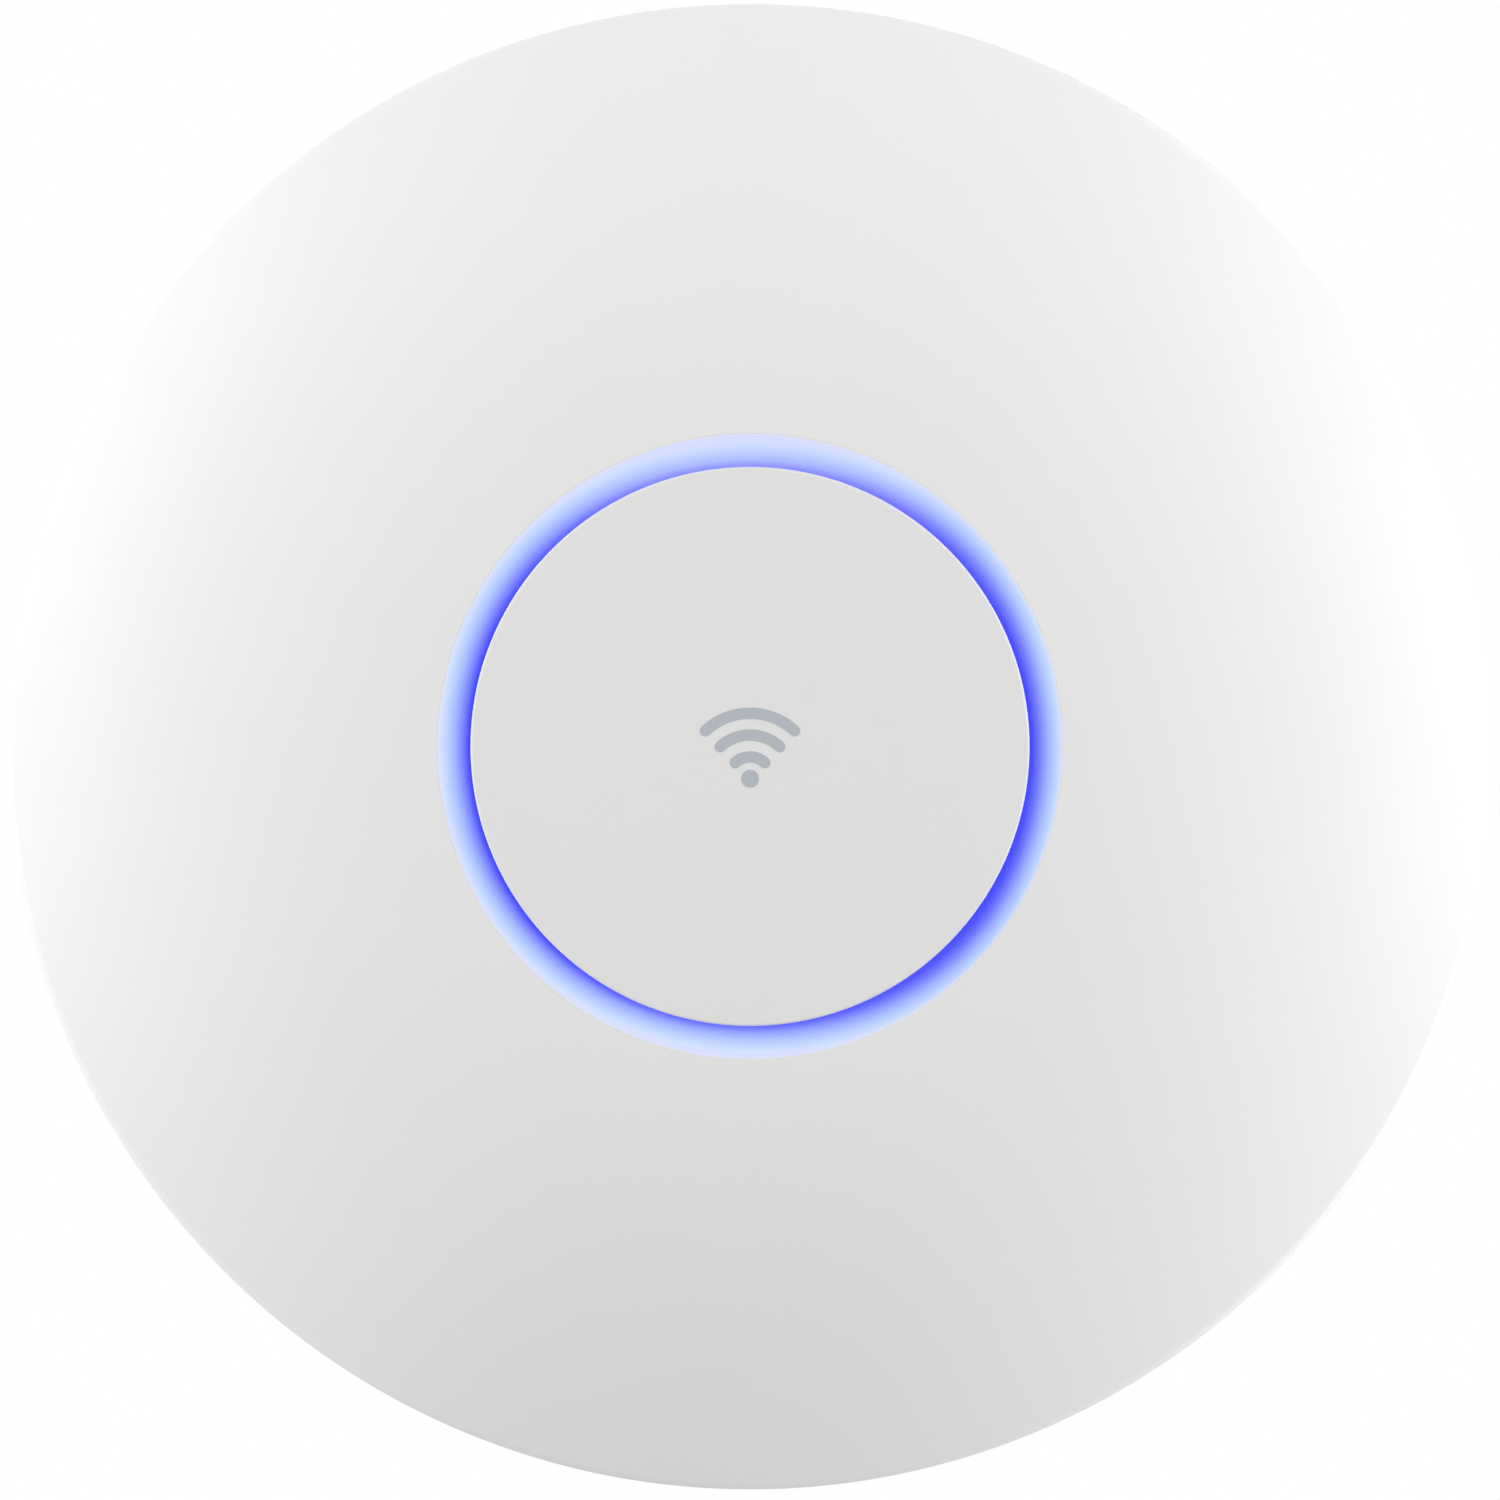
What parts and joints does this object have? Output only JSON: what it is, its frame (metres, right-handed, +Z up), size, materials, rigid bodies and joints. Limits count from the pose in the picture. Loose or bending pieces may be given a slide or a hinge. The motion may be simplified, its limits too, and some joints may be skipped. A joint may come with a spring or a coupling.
{
  "type": "ceiling access point",
  "caption": "Round dome-shaped wireless access point with a light ring round its flush centre cap, on a twist-lock ceiling bracket.",
  "frame": {"origin": "centre of the mounting bracket's ceiling face", "axes": "+Z up, towards the ceiling; the dome faces -Z; +Y is the side where the cable leaves"},
  "size_m": [0.16, 0.16, 0.033],
  "materials": {
    "shell_plastic": "smooth satin white moulded plastic",
    "cap_plastic": "smooth matte off-white moulded plastic",
    "rear_plastic": "fine-textured white moulded plastic",
    "bracket_plastic": "fine-textured white moulded plastic",
    "ring_diffuser": "milky diffuser, lit blue from behind",
    "clear_plastic": "clear moulded light guide",
    "black_plastic": "matte black moulded plastic",
    "circuit_board": "green solder mask over glass laminate",
    "spreader_aluminium": "satin pressed aluminium",
    "tin_plate": "bright tin-plated sheet",
    "spring_steel": "satin spring steel",
    "screw_steel": "bright zinc-plated steel",
    "antenna_brass": "satin stamped brass",
    "gold_plate": "gold-plated contact wire",
    "thermal_pad": "soft grey silicone pad",
    "ferrite": "dark grey ferrite",
    "led_package": "white ceramic package with a phosphor window",
    "label_film": "blank satin label film"
  },
  "bodies": {
    "bracket": {"mounting_bracket": "bracket_plastic"},
    "latch": {"release_latch": "spring_steel"},
    "housing": {"rear_cover": "rear_plastic", "cable_tray": "rear_plastic", "rating_label": "label_film", "front_cover": "shell_plastic", "light_ring": "ring_diffuser", "centre_cap": "cap_plastic", "light_carrier": "black_plastic", "light_guide": "clear_plastic", "main_board": "circuit_board", "heat_spreader": "spreader_aluminium", "jack_shield": "tin_plate", "jack_housing": "black_plastic", "jack_contacts": "gold_plate", "lan_transformer": "black_plastic", "power_transformer": "black_plastic", "power_inductor": "ferrite", "capacitor_1": "spreader_aluminium", "capacitor_2": "spreader_aluminium", "reset_switch": "black_plastic", "status_led_1": "led_package", "status_led_2": "led_package", "status_led_3": "led_package", "status_led_4": "led_package", "status_led_5": "led_package", "status_led_6": "led_package", "status_led_7": "led_package", "status_led_8": "led_package", "processor_shield": "tin_plate", "processor_chip": "black_plastic", "processor_pad": "thermal_pad", "left_radio_shield": "tin_plate", "left_radio_chip": "black_plastic", "left_radio_pad": "thermal_pad", "right_radio_shield": "tin_plate", "right_radio_chip": "black_plastic", "right_radio_pad": "thermal_pad", "antenna_1": "antenna_brass", "cover_screw_1": "screw_steel", "board_screw_1": "screw_steel", "antenna_2": "antenna_brass", "cover_screw_2": "screw_steel", "board_screw_2": "screw_steel", "antenna_3": "antenna_brass", "cover_screw_3": "screw_steel", "board_screw_3": "screw_steel", "antenna_4": "antenna_brass", "cover_screw_4": "screw_steel", "board_screw_4": "screw_steel"},
    "reset_pin": {"reset_button": "bracket_plastic", "reset_plunger": "black_plastic"},
    "cable_door": {"cable_cover": "rear_plastic"}
  },
  "joints": [
    {"name": "twist_lock", "type": "hinge", "parent": "bracket", "child": "housing", "pos_m": [0, 0, 0], "axis": [0, 0, -1], "range_deg": [0, 20]},
    {"name": "latch_give", "type": "hinge", "parent": "bracket", "child": "latch", "pos_m": [-0.01789, -0.04541, -0.0037], "axis": [0, 0, 1], "range_deg": [0, 6.5]},
    {"name": "reset_press", "type": "slide", "parent": "housing", "child": "reset_pin", "axis": [0, 0, -1], "range_m": [0, 0.0005], "stiffness_N_per_m": 4000},
    {"name": "cable_cover_slide", "type": "slide", "parent": "housing", "child": "cable_door", "axis": [0, 1, 0], "range_m": [0, 0.012]}
  ],
  "couplings": [
    {"joint": "latch_give", "follows": "twist_lock", "ratio": 0.3}
  ]
}
